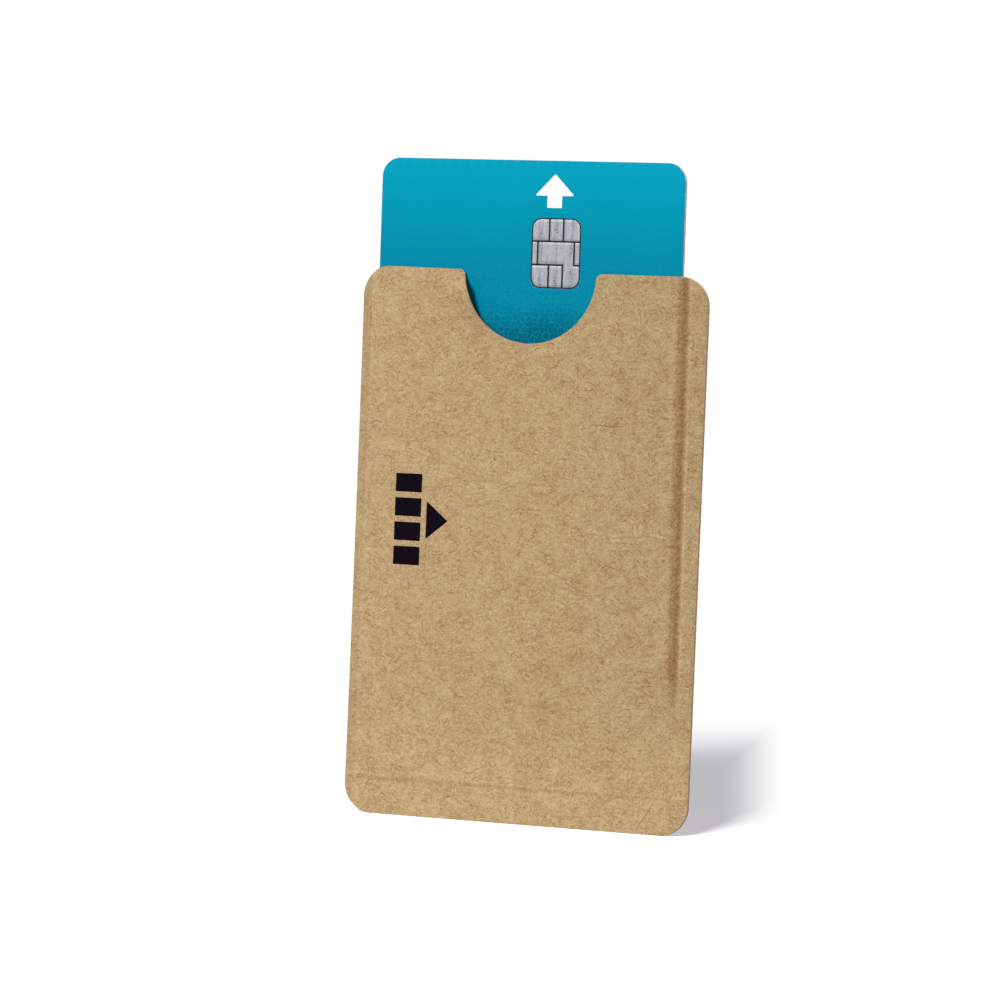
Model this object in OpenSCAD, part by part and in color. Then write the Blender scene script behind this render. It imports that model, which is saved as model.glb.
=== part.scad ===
// Shielded paper card sleeve with a plastic chip card drawn part of the way out.
// +Z runs along the sleeve towards its open mouth, and the front faces -Y.
// The origin is the middle of the bottom edge, on the middle plane of the pocket.

/* [Sleeve] */
// Width of the seam along the left edge
left_seam = 1.6; // [1:0.1:6]
// Width of the seam along the right edge
right_seam = 3.2; // [1:0.1:6]
// Height of the seam across the bottom
bottom_seam = 5.6; // [3:0.1:10]
// Radius of the four die-cut corners
corner_r = 5; // [1:0.5:8]
// Thickness of the kraft paper
paper_t = 0.24; // [0.15:0.01:0.4]
// Thickness of the aluminium foil that blocks radio waves
foil_t = 0.03; // [0.02:0.01:0.06]
// Thickness of the clear sealing film inside the foil
film_t = 0.03; // [0.02:0.01:0.08]
// Thickness of the melted seam between front and back
seal_t = 0.04; // [0.02:0.01:0.1]

/* [Pocket] */
// Room between the card and each wall of the pocket
card_gap = 0.15; // [0.05:0.01:0.4]
// Room beside each long edge of the card, once it leans
edge_gap = 0.1; // [0.05:0.01:0.5]
// Width over which the walls slope down to the seams
slope_w = 0.9; // [0.6:0.1:1.4]
// Room under the lower edge of a card that is pushed home
end_gap = 0.1; // [0.1:0.1:2]
// How far a card that is pushed home stands out of the mouth
card_proud = 0.2; // [0:0.1:2]

/* [Thumb notch] */
// Radius of the thumb notch in the front
notch_r = 11.65; // [8:0.05:14]
// How far the notch lies to the right of the pocket's middle
notch_shift = 0.2; // [-2:0.1:2]
// Depth of the notch's centre below the mouth
notch_drop = 0.4; // [0.2:0.1:4]
// Radius that rounds the notch's two corners at the mouth
lip_r = 1.1; // [0.5:0.1:3]

/* [Printed mark] */
// Distance from the sleeve's left edge to the bars of the mark
mark_from_left = 7.45; // [5:0.05:12]
// Height of the mark's lower end above the bottom edge
mark_from_bottom = 42.1; // [20:0.1:50]
// Number of solid bars in the mark
bar_count = 4; // [2:1:5]
// Width of each bar
bar_w = 4.75; // [3:0.05:8]
// Height of each bar
bar_h = 3.1; // [1:0.1:5]
// Space between one bar and the next
bar_space = 0.97; // [0.4:0.01:2]
// Width of the solid arrowhead beside the bars
arrowhead_w = 3.9; // [2:0.1:6]
// Height of the solid arrowhead
arrowhead_h = 6.4; // [3:0.1:8]
// Thickness of every ink and stripe, set into the surface under it
ink_t = 0.02; // [0.01:0.01:0.03]

/* [Card] */
// Width of the card
card_w = 53.98; // [52:0.01:54.5]
// Height of the card
card_h = 85.6; // [80:0.1:86]
// Radius of the card's corners
card_r = 3.18; // [1:0.01:6]
// Thickness of the clear overlay on each face
overlay_t = 0.05; // [0.04:0.01:0.08]
// Thickness of the printed core sheet on each side
core_t = 0.15; // [0.12:0.01:0.2]
// Thickness of the antenna sheet in the middle
inlay_t = 0.36; // [0.34:0.01:0.5]
// How far the card stands out of the mouth
card_out = 18.3; // [2:0.1:40]
// Lean of the card to the left in the pocket, in degrees
card_lean = 0.45; // [0:0.05:1]

/* [Chip module] */
// Width of the chip module
module_w = 8.6; // [8:0.1:12]
// Height of the chip module
module_h = 11.5; // [11:0.1:13]
// Radius of the module's corners
module_r = 1.6; // [0.5:0.1:3]
// Distance from the card's right edge to the module's middle
module_from_side = 22.4; // [20:0.1:30]
// Distance from the card's top edge to the module's middle
module_from_end = 15.3; // [13:0.1:20]
// Room round the module in its milled pocket
module_gap = 0.06; // [0.02:0.01:0.15]
// Thickness of the plated contacts
plate_t = 0.03; // [0.02:0.01:0.04]
// Width of the grooves between the contacts
groove_w = 0.22; // [0.1:0.01:0.3]
// Width of the outer columns of contacts
column_w = 2.95; // [2:0.05:3.2]
// Height of the upper and lower rows of contacts
row_h = 3.7; // [2.5:0.05:4]
// Width of the narrow contact on each side of the middle
strip_w = 0.95; // [0.5:0.05:1.5]
// Thickness of the glass-fibre tape that carries the contacts
carrier_t = 0.11; // [0.08:0.01:0.12]
// Width of the chip
die_w = 2.6; // [1.5:0.1:3]
// Height of the chip
die_h = 3; // [1.5:0.1:3.4]
// Thickness of the chip
die_t = 0.14; // [0.08:0.01:0.16]
// Width and height of the resin drop over the chip
glob_w = 5.8; // [5.2:0.1:6.2]
// Thickness of the resin drop
glob_t = 0.28; // [0.26:0.01:0.3]
// Room round the resin drop in its milled pocket
glob_gap = 0.1; // [0.05:0.01:0.2]
// Thickness of each bond wire
bond_t = 0.04; // [0.03:0.01:0.05]
// Number of bond wires on each side of the chip
bond_count = 3; // [1:1:5]
// Space between one bond wire and the next
bond_space = 0.6; // [0.3:0.05:0.6]
// Length of each bond wire
bond_run = 0.9; // [0.4:0.05:1.1]
// Height of each bond wire's loop above the chip
bond_loop = 0.05; // [0.03:0.01:0.06]

/* [Antenna] */
// Number of turns of the antenna coil
coil_turns = 4; // [2:1:6]
// Space from one turn to the next
coil_pitch = 0.6; // [0.3:0.05:1]
// Width and depth of the coil's copper wire
wire_t = 0.1; // [0.06:0.01:0.12]
// Distance from the card's edge to the outer turn
coil_margin = 3; // [2:0.1:5]
// Distance from the module's middle to each end of the coil
coil_end_x = 2.2; // [1:0.1:2.8]
// Width and height of the pad on each end of the coil
pad_w = 1; // [0.5:0.1:1.2]

/* [Card markings] */
// Distance from the card's right edge to the white arrow's middle
arrow_from_side = 22.9; // [18:0.1:30]
// Distance from the card's top edge to the arrow's tip
arrow_from_end = 2.2; // [1:0.1:3]
// Width of the arrow's head
arrow_w = 7; // [4:0.1:9]
// Height of the arrow's head
arrow_head_h = 3.6; // [2:0.1:3.8]
// Width of the arrow's stem
stem_w = 2.6; // [1:0.1:4]
// Height of the arrow's stem
stem_h = 2; // [0.5:0.1:2.4]
// Distance from the card's edge to the magnetic stripe
stripe_margin = 5.5; // [4:0.1:7]
// Width of the magnetic stripe
stripe_w = 10.3; // [8:0.1:12.7]
// Space between the stripe and the signature panel
panel_space = 4; // [2:0.1:6]
// Width of the signature panel
panel_w = 10; // [6:0.1:12]
// Height of the signature panel
panel_h = 62; // [40:1:70]

/* [Hidden] */
$fn = 96;
// Overshoot of a cut beyond the material it cuts
cut = 1;

card_t = 2 * (overlay_t + core_t) + inlay_t;
// Sideways reach that the lean adds to the card's half width, in whole steps
size_step = 0.01;
lean_reach = ceil(card_h / 2 * sin(abs(card_lean)) / size_step) * size_step;

// Half the pocket's thickness in the seams and between the card's faces
pinch = seal_t / 2;
swell = card_t / 2 + card_gap;
pocket_half = card_w / 2 + lean_reach + edge_gap + slope_w;
sleeve_w = left_seam + 2 * pocket_half + right_seam;
sleeve_h = bottom_seam + slope_w + end_gap + card_h - card_proud;
pocket_left = left_seam - sleeve_w / 2;
pocket_right = sleeve_w / 2 - right_seam;
pocket_x = (pocket_left + pocket_right) / 2;
card_z = sleeve_h + card_out - card_h / 2;
// Depths of the plies of one wall, counted outwards from the pocket
foil_from = film_t;
paper_from = film_t + foil_t;
wall_t = film_t + foil_t + paper_t;

notch_x = pocket_x + notch_shift;
notch_z = sleeve_h - notch_drop;
lip_x = sqrt(pow(notch_r + lip_r, 2) - pow(lip_r - notch_drop, 2));
lip_z = sleeve_h - lip_r;

bars_h = bar_count * bar_h + (bar_count - 1) * bar_space;
bars_x = mark_from_left - sleeve_w / 2;

// Depths in the card, counted from its front face
inlay_from = overlay_t + core_t;
back_core_from = inlay_from + inlay_t;
back_overlay_from = back_core_from + core_t;
carrier_from = plate_t;
carrier_back = plate_t + carrier_t;
module_x = card_w / 2 - module_from_side;
module_z = card_h / 2 - module_from_end;
// Reach of the milled drop pocket from the module's middle
drop_pocket = glob_w + 2 * glob_gap;
drop_pocket_back = carrier_back + glob_t + glob_gap / 2;

// Distances of the contact grooves from the module's middle
column_x = module_w / 2 - column_w - groove_w / 2;
row_z = module_h / 2 - row_h - groove_w / 2;
strip_x = module_w / 2 - strip_w - groove_w / 2;

// Antenna route in the card's own plane
coil_x = card_w / 2 - coil_margin;
coil_z = card_h / 2 - coil_margin;
pad_z = module_z + (drop_pocket + module_h) / 4;
bridge_from = inlay_from + 2 * wire_t;

arrow_x = card_w / 2 - arrow_from_side;
arrow_tip_z = card_h / 2 - arrow_from_end;
stripe_x = card_w / 2 - stripe_margin - stripe_w;
panel_x = stripe_x - panel_space - panel_w;

module rounded_rect(w, h, r) {
    square([w - 2 * r, h], center = true);
    square([w, h - 2 * r], center = true);
    for (x = [-1, 1], z = [-1, 1])
        translate([x * (w / 2 - r), z * (h / 2 - r)]) circle(r);
}

// Extrudes a shape drawn in X and Z from one Y to a larger Y
module slab(y0, y1) {
    translate([0, y1, 0]) rotate([90, 0, 0]) linear_extrude(y1 - y0) children();
}

module sleeve_outline() {
    translate([0, sleeve_h / 2]) rounded_rect(sleeve_w, sleeve_h, corner_r);
}

module notch_outline() {
    translate([notch_x, notch_z]) circle(notch_r);
    difference() {
        polygon([
            [notch_x - lip_x, sleeve_h + cut], [notch_x + lip_x, sleeve_h + cut],
            [notch_x + lip_x, lip_z], [notch_x, notch_z], [notch_x - lip_x, lip_z]
        ]);
        for (side = [-1, 1]) translate([notch_x + side * lip_x, lip_z]) circle(lip_r);
    }
}

// Space behind one wall, from y_from out to the pocket's surface plus depth
module wall_space(depth, y_from) {
    far = sleeve_w / 2 + cut;
    intersection() {
        translate([0, 0, -cut]) linear_extrude(sleeve_h + 2 * cut) polygon([
            [-far, y_from], [-far, pinch + depth], [pocket_left, pinch + depth],
            [pocket_left + slope_w, swell + depth], [pocket_right - slope_w, swell + depth],
            [pocket_right, pinch + depth], [far, pinch + depth], [far, y_from]
        ]);
        translate([-far, 0, 0]) rotate([90, 0, 90]) linear_extrude(2 * far) polygon([
            [y_from, -cut], [pinch + depth, -cut], [pinch + depth, bottom_seam],
            [swell + depth, bottom_seam + slope_w], [swell + depth, sleeve_h + cut],
            [y_from, sleeve_h + cut]
        ]);
    }
}

// One ply of the back wall, between two depths counted outwards from the pocket
module ply(from, to) {
    difference() {
        intersection() {
            wall_space(to, 0);
            slab(-cut, swell + wall_t + cut) sleeve_outline();
        }
        wall_space(from, -cut);
    }
}

module front_ply(from, to) {
    difference() {
        mirror([0, 1, 0]) ply(from, to);
        slab(-swell - wall_t - cut, cut) notch_outline();
    }
}

module printed_mark_shape() {
    for (i = [0 : bar_count - 1])
        translate([bars_x, mark_from_bottom + i * (bar_h + bar_space)]) square([bar_w, bar_h]);
    translate([bars_x + bar_w + bar_space, mark_from_bottom + bars_h / 2 - arrowhead_h / 2])
        polygon([[0, 0], [arrowhead_w, arrowhead_h / 2], [0, arrowhead_h]]);
}

module printed_mark_ink() {
    slab(-swell - wall_t, -swell - wall_t + ink_t) printed_mark_shape();
}

module front_paper() {
    color("#BE9A70") difference() {
        front_ply(paper_from, wall_t);
        slab(-swell - wall_t - cut, -swell - wall_t + ink_t) printed_mark_shape();
    }
}

module front_foil() {
    color("#C9CCD0") front_ply(foil_from, paper_from);
}

module front_film() {
    color("#D9DCDF") front_ply(0, film_t);
}

module back_paper() {
    color("#BE9A70") ply(paper_from, wall_t);
}

module back_foil() {
    color("#C9CCD0") ply(foil_from, paper_from);
}

module back_film() {
    color("#D9DCDF") ply(0, film_t);
}

// Part of the melted seam that lies inside the given rectangle
module seam(x0, x1, z0, z1) {
    intersection() {
        slab(-pinch, pinch) sleeve_outline();
        translate([x0, -pinch - cut, z0]) cube([x1 - x0, 2 * (pinch + cut), z1 - z0]);
    }
}

module left_seal() {
    color("#E4DCCB") seam(-sleeve_w / 2 - cut, pocket_left, bottom_seam, sleeve_h + cut);
}

module right_seal() {
    color("#E4DCCB") seam(pocket_right, sleeve_w / 2 + cut, bottom_seam, sleeve_h + cut);
}

module bottom_seal() {
    color("#E4DCCB") seam(-sleeve_w / 2 - cut, sleeve_w / 2 + cut, -cut, bottom_seam);
}

module printed_mark() {
    color("#12101A") printed_mark_ink();
}

// Puts a piece drawn about the card's middle, depth along Y, into the sleeve
module in_card() {
    translate([pocket_x, -card_t / 2, card_z]) rotate([0, -card_lean, 0]) children();
}

module at_module() {
    translate([module_x, 0, module_z]) children();
}

module card_sheet(from, thickness) {
    slab(from, from + thickness) rounded_rect(card_w, card_h, card_r);
}

module module_window() {
    at_module() slab(-cut, inlay_from)
        rounded_rect(module_w + 2 * module_gap, module_h + 2 * module_gap, module_r + module_gap);
}

module drop_pocket_space() {
    at_module() slab(inlay_from - cut, drop_pocket_back)
        rounded_rect(drop_pocket, drop_pocket, module_r);
}

module arrow_shape() {
    translate([arrow_x, arrow_tip_z]) polygon([
        [0, 0], [arrow_w / 2, -arrow_head_h], [stem_w / 2, -arrow_head_h],
        [stem_w / 2, -arrow_head_h - stem_h], [-stem_w / 2, -arrow_head_h - stem_h],
        [-stem_w / 2, -arrow_head_h], [-arrow_w / 2, -arrow_head_h]
    ]);
}

module stripe_shape() {
    translate([stripe_x, -card_h / 2]) square([stripe_w, card_h]);
}

module panel_shape() {
    translate([panel_x, -panel_h / 2]) square([panel_w, panel_h]);
}

module card_front_overlay() {
    color("#0C9DBB") in_card() difference() {
        card_sheet(0, overlay_t);
        module_window();
        slab(-cut, ink_t) arrow_shape();
    }
}

module card_front_core() {
    color("#0A86A3") in_card() difference() {
        card_sheet(overlay_t, core_t);
        module_window();
    }
}

module antenna_sheet() {
    color("#F1EEE8") in_card() difference() {
        card_sheet(inlay_from, inlay_t);
        drop_pocket_space();
        coil_wire();
    }
}

module card_back_core() {
    color("#0A86A3") in_card() card_sheet(back_core_from, core_t);
}

module card_back_overlay() {
    color("#0C9DBB") in_card() difference() {
        card_sheet(back_overlay_from, overlay_t);
        slab(card_t - ink_t, card_t + cut) {
            stripe_shape();
            panel_shape();
        }
    }
}

module magnetic_stripe() {
    color("#1B1A1E") in_card() intersection() {
        slab(card_t - ink_t, card_t) stripe_shape();
        card_sheet(back_overlay_from, overlay_t);
    }
}

module signature_panel() {
    color("#F2EFE6") in_card() slab(card_t - ink_t, card_t) panel_shape();
}

module insertion_arrow() {
    color("#FBFBFB") in_card() slab(0, ink_t) arrow_shape();
}

// A straight stretch of wire between two points of the antenna's plane
module wire(x0, z0, x1, z1, from, depth = wire_t) {
    translate([min(x0, x1) - wire_t / 2, from, min(z0, z1) - wire_t / 2])
        cube([abs(x1 - x0) + wire_t, depth, abs(z1 - z0) + wire_t]);
}

module coil_pad(x) {
    translate([x - pad_w / 2, inlay_from, pad_z - pad_w / 2]) cube([pad_w, wire_t, pad_w]);
}

// Spiral of straight stretches, whose outer end passes under the turns to the module
module coil_wire() {
    left_x = module_x - coil_end_x;
    right_x = module_x + coil_end_x;
    for (i = [0 : coil_turns - 1]) {
        out_x = coil_x - i * coil_pitch;
        out_z = coil_z - i * coil_pitch;
        next_z = out_z - coil_pitch;
        start_x = i == 0 ? left_x : module_x;
        end_x = i == coil_turns - 1 ? right_x : module_x;
        wire(start_x, out_z, -out_x, out_z, inlay_from);
        wire(-out_x, out_z, -out_x, -out_z, inlay_from);
        wire(-out_x, -out_z, out_x, -out_z, inlay_from);
        wire(out_x, -out_z, out_x, next_z, inlay_from);
        wire(out_x, next_z, end_x, next_z, inlay_from);
    }
    wire(right_x, coil_z - coil_turns * coil_pitch, right_x, pad_z, inlay_from);
    wire(left_x, coil_z, left_x, coil_z, inlay_from, bridge_from + wire_t - inlay_from);
    wire(left_x, coil_z, left_x, pad_z, bridge_from);
    wire(left_x, pad_z, left_x, pad_z, inlay_from, bridge_from + wire_t - inlay_from);
    coil_pad(left_x);
    coil_pad(right_x);
}

module antenna_coil() {
    color("#B87333") in_card() coil_wire();
}

module groove(x0, z0, x1, z1) {
    translate([min(x0, x1) - groove_w / 2, min(z0, z1) - groove_w / 2])
        square([abs(x1 - x0) + groove_w, abs(z1 - z0) + groove_w]);
}

module contact_plates() {
    side = module_w / 2 + cut;
    end = module_h / 2 + cut;
    color("#B3B6BC") in_card() at_module() slab(0, plate_t) difference() {
        rounded_rect(module_w, module_h, module_r);
        groove(-side, row_z, side, row_z);
        for (x = [-column_x, column_x]) {
            groove(x, row_z, x, end);
            groove(x, -row_z, x, -end);
        }
        groove(-strip_x, -row_z, -strip_x, row_z);
        groove(-side, -row_z, column_x, -row_z);
        groove(strip_x, -row_z, strip_x, row_z);
        groove(strip_x, -row_z, side, -row_z);
    }
}

module module_carrier() {
    color("#3B3A38") in_card() at_module() slab(carrier_from, carrier_back)
        rounded_rect(module_w, module_h, module_r);
}

module module_adhesive() {
    color("#D8C48A") in_card() at_module() slab(carrier_back, inlay_from) difference() {
        rounded_rect(module_w, module_h, module_r);
        rounded_rect(drop_pocket, drop_pocket, module_r);
    }
}

module die_block() {
    at_module() translate([-die_w / 2, carrier_back, -die_h / 2]) cube([die_w, die_t, die_h]);
}

// Loops from the chip's inner face out to the carrier tape on both sides
module bond_loops() {
    top = carrier_back + die_t;
    at_module() for (side = [-1, 1], i = [0 : bond_count - 1]) {
        z = (i - (bond_count - 1) / 2) * bond_space;
        mirror([side < 0 ? 1 : 0, 0, 0]) {
            inner_x = die_w / 2 - 3 * bond_t;
            outer_x = die_w / 2 + bond_run;
            translate([inner_x, top, z - bond_t / 2]) cube([bond_t, bond_loop + bond_t, bond_t]);
            translate([inner_x, top + bond_loop, z - bond_t / 2])
                cube([outer_x - inner_x, bond_t, bond_t]);
            translate([outer_x - bond_t, carrier_back, z - bond_t / 2])
                cube([bond_t, die_t + bond_loop + bond_t, bond_t]);
        }
    }
}

module chip_die() {
    color("#4A4E57") in_card() die_block();
}

module bond_wires() {
    color("#D6A93B") in_card() bond_loops();
}

module glob_top() {
    color("#23211F") in_card() difference() {
        at_module() slab(carrier_back, carrier_back + glob_t)
            rounded_rect(glob_w, glob_w, module_r);
        die_block();
        bond_loops();
    }
}

front_paper();
front_foil();
front_film();
back_paper();
back_foil();
back_film();
left_seal();
right_seal();
bottom_seal();
printed_mark();
card_front_overlay();
card_front_core();
antenna_sheet();
antenna_coil();
card_back_core();
card_back_overlay();
magnetic_stripe();
signature_panel();
insertion_arrow();
contact_plates();
module_carrier();
module_adhesive();
chip_die();
bond_wires();
glob_top();
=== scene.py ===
import math

import bpy
import numpy as np
from mathutils import Matrix, Vector, noise
from mathutils.geometry import delaunay_2d_cdt


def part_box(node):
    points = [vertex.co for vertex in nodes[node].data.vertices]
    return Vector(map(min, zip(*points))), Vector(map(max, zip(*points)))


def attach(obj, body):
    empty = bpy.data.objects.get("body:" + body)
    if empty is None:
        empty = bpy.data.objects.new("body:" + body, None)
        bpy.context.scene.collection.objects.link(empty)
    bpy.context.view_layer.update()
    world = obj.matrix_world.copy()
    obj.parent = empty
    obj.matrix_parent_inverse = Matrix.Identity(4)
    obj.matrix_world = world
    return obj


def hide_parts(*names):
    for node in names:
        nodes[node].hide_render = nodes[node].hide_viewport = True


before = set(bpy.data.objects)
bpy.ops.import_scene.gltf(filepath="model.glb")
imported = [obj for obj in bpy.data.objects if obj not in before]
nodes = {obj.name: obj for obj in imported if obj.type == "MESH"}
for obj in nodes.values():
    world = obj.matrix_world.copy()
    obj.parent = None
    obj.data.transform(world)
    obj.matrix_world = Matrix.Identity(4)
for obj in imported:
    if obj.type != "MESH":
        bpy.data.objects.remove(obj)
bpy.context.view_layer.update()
mm = 0.001


# Camera
# A long lens stands to the right of the sleeve and just above its middle. It is tipped a
# little, so that the upright sleeve leans to the right in the picture.
camera_turn = math.radians(21.814)
camera_rise = math.radians(2.132)
camera_roll = math.radians(2.313)
camera_distance = 864.99 * mm
camera_aim = Vector((-4.743 * mm, 0, 53.756 * mm))
lens_length = 187.2

towards_camera = Vector((
    math.sin(camera_turn) * math.cos(camera_rise),
    -math.cos(camera_turn) * math.cos(camera_rise),
    math.sin(camera_rise),
))
level_right = Vector((math.cos(camera_turn), math.sin(camera_turn), 0))
level_up = towards_camera.cross(level_right)
camera_right = math.cos(camera_roll) * level_right + math.sin(camera_roll) * level_up
camera_up = towards_camera.cross(camera_right)
camera = bpy.data.objects.new("camera", bpy.data.cameras.new("camera"))
bpy.context.scene.collection.objects.link(camera)
camera.data.lens = lens_length
camera.data.clip_start = 10 * mm
camera.data.clip_end = 20
camera.matrix_world = Matrix.Translation(camera_aim + towards_camera * camera_distance) @ Matrix(
    (camera_right, camera_up, towards_camera)
).transposed().to_4x4()
bpy.context.scene.camera = camera
bpy.context.scene.view_settings.view_transform = "Standard"


# Back wall
# The back is one die-cut blank of kraft paper, with aluminium foil glued to its inside and
# a clear sealing film on the foil. It bulges where the pocket holds the card.
back_low, back_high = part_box("back_paper")
sleeve_w = back_high.x - back_low.x
sleeve_h = back_high.z
corner_r = 5 * mm
seam_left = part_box("left_seal")[1].x
seam_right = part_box("right_seal")[0].x
seam_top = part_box("bottom_seal")[1].z
flange_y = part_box("back_film")[0].y
film_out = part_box("back_foil")[0].y
foil_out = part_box("back_paper")[0].y
paper_t = 0.24 * mm
# Depths of each ply's two faces, counted outwards from the pocket
ply_depths = {
    "film": (0, film_out - flange_y),
    "foil": (film_out - flange_y, foil_out - flange_y),
    "paper": (foil_out - flange_y, foil_out - flange_y + paper_t),
}
paper_out = ply_depths["paper"][1]
pocket_half = back_high.y - paper_out
# The card fills the upper pocket, and below its edge the walls lie closer together
slack_from = 19 * mm
slack_to = 26 * mm
slack_share = 0.765
# Widths of the soft step up from the seams at the left and bottom, and at the right
slope_w = 1.1 * mm
slope_right_w = 1.0 * mm
# The right slope starts here beside the seam at this height, and drifts right below it
foot_shift = -0.28 * mm
foot_drift = 0.85 / 66
lean_top = 90 * mm
# How far the left edge and the mouth pull in from the straight die line
edge_bow = 0.15 * mm
mouth_sag = 0.14 * mm
# The plies' cut rims are rounded in this many steps, and inner points keep off the rims
blank_rounding = 0.09 * mm
rim_steps = 3
rim_margin = 0.3 * mm
loop_gap = 0.6 * mm
tiny = 0.001 * mm
# The two papers' waves differ by these seeds
back_seed = 11
front_seed = 3


def arc(x, z, r, start, end, gap=0.3 * mm):
    """Points along an arc from one angle to another, in degrees."""
    count = max(4, math.ceil(abs(math.radians(end - start)) * r / gap))
    turns = [math.radians(start + (end - start) * i / count) for i in range(count + 1)]
    return [(x + r * math.cos(turn), z + r * math.sin(turn)) for turn in turns]


def rounded(corners, gap=loop_gap):
    """Closed loop through corners given as (x, z, radius), turning left all the way round."""
    loop = []
    for i, (x, z, r) in enumerate(corners):
        before = Vector(corners[i - 1][:2]) - Vector((x, z))
        after = Vector(corners[(i + 1) % len(corners)][:2]) - Vector((x, z))
        before.normalize()
        after.normalize()
        half = before.angle(after) / 2
        middle = Vector((x, z)) + (before + after).normalized() * r / math.sin(half)
        side = -1 if before.cross(after) > 0 else 1
        opening = (-before - after).normalized()
        heading = math.degrees(math.atan2(opening.y, opening.x))
        sweep = side * (90 - math.degrees(half))
        loop += arc(middle.x, middle.y, r, heading - sweep, heading + sweep)
    return stepped(loop, gap)


def box_loop(x0, z0, x1, z1, r, gap=loop_gap):
    """A rectangle with round corners."""
    return rounded([(x0, z0, r), (x1, z0, r), (x1, z1, r), (x0, z1, r)], gap)


def stepped(loop, gap):
    """The closed loop with points added, so that no side of it is longer than gap."""
    points = []
    for (x0, z0), (x1, z1) in zip(loop, loop[1:] + loop[:1]):
        length = math.hypot(x1 - x0, z1 - z0)
        count = math.ceil(length / gap) if length > tiny else 0
        points += [(x0 + (x1 - x0) * i / count, z0 + (z1 - z0) * i / count) for i in range(count)]
    return points


def within(points, loop):
    """Which points lie inside the loop, and how far each is from the loop's nearest side."""
    x, z = points.T
    odd = np.zeros(len(points), bool)
    nearest = np.full(len(points), np.inf)
    for (x0, z0), (x1, z1) in zip(loop, loop[1:] + loop[:1]):
        if z0 != z1:
            odd ^= ((z0 > z) != (z1 > z)) & (x < x0 + (z - z0) * (x1 - x0) / (z1 - z0))
        along = (x - x0) * (x1 - x0) + (z - z0) * (z1 - z0)
        along = np.clip(along / ((x1 - x0) ** 2 + (z1 - z0) ** 2), 0, 1)
        apart = np.hypot(x - x0 - along * (x1 - x0), z - z0 - along * (z1 - z0))
        nearest = np.minimum(nearest, apart)
    return odd, nearest


def between_rims(triangles, edges):
    """The triangles of the sheet itself, which lie an odd number of rims in from the outside."""
    rim_sides = {frozenset(edge) for edge in edges}
    sides = [[frozenset((face[i - 1], face[i])) for i in range(3)] for face in triangles]
    beside = {}
    for number, around in enumerate(sides):
        for side in around:
            beside.setdefault(side, []).append(number)
    reached = {}
    waiting = [
        (numbers[0], side in rim_sides) for side, numbers in beside.items() if len(numbers) == 1
    ]
    while waiting:
        number, kept = waiting.pop()
        if number in reached:
            continue
        reached[number] = kept
        for side in sides[number]:
            waiting += [(other, kept != (side in rim_sides)) for other in beside[side]]
    return [face for number, face in enumerate(triangles) if reached[number]]


class Blank:
    """A flat shape cut from sheet: its rim, its inner points and the triangles between them."""

    def __init__(self, loop, across, up, rounding, holes=(), pull=None):
        self.rims = []
        self.rounding = rounding
        loops = [(loop, 1)] + [(hole, -1) for hole in holes]
        points = []
        faces = []
        for corners, side in loops:
            count = len(corners)
            outward = []
            for i in range(count):
                x0, z0 = corners[i - 1]
                x1, z1 = corners[(i + 1) % count]
                length = math.hypot(x1 - x0, z1 - z0)
                outward.append((side * (z1 - z0) / length, side * (x0 - x1) / length))
            first = len(points)
            points += [
                (x - rounding * nx, z - rounding * nz)
                for (x, z), (nx, nz) in zip(corners, outward)
            ]
            faces.append(list(range(first, first + count)))
            self.rims.append((faces[-1], outward, side))
        grid = np.array([(x, z) for x in across for z in up])
        keep, nearest = within(grid, loop)
        keep &= nearest > rim_margin
        for hole in holes:
            inside, nearest = within(grid, hole)
            keep &= ~inside & (nearest > rim_margin)
        points += [tuple(point) for point in grid[keep]]
        scaled = [Vector((x / mm, z / mm)) for x, z in points]
        edges = [(face[i - 1], face[i]) for face in faces for i in range(len(face))]
        found = delaunay_2d_cdt(scaled, edges, [], 0, 1e-6, True)
        source = [sources[-1] for sources in found[3]]
        triangles = [tuple(source[i] for i in face) for face in found[2]]
        self.triangles = between_rims(triangles, edges)
        self.points = [pull(x, z) for x, z in points] if pull else points


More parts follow.
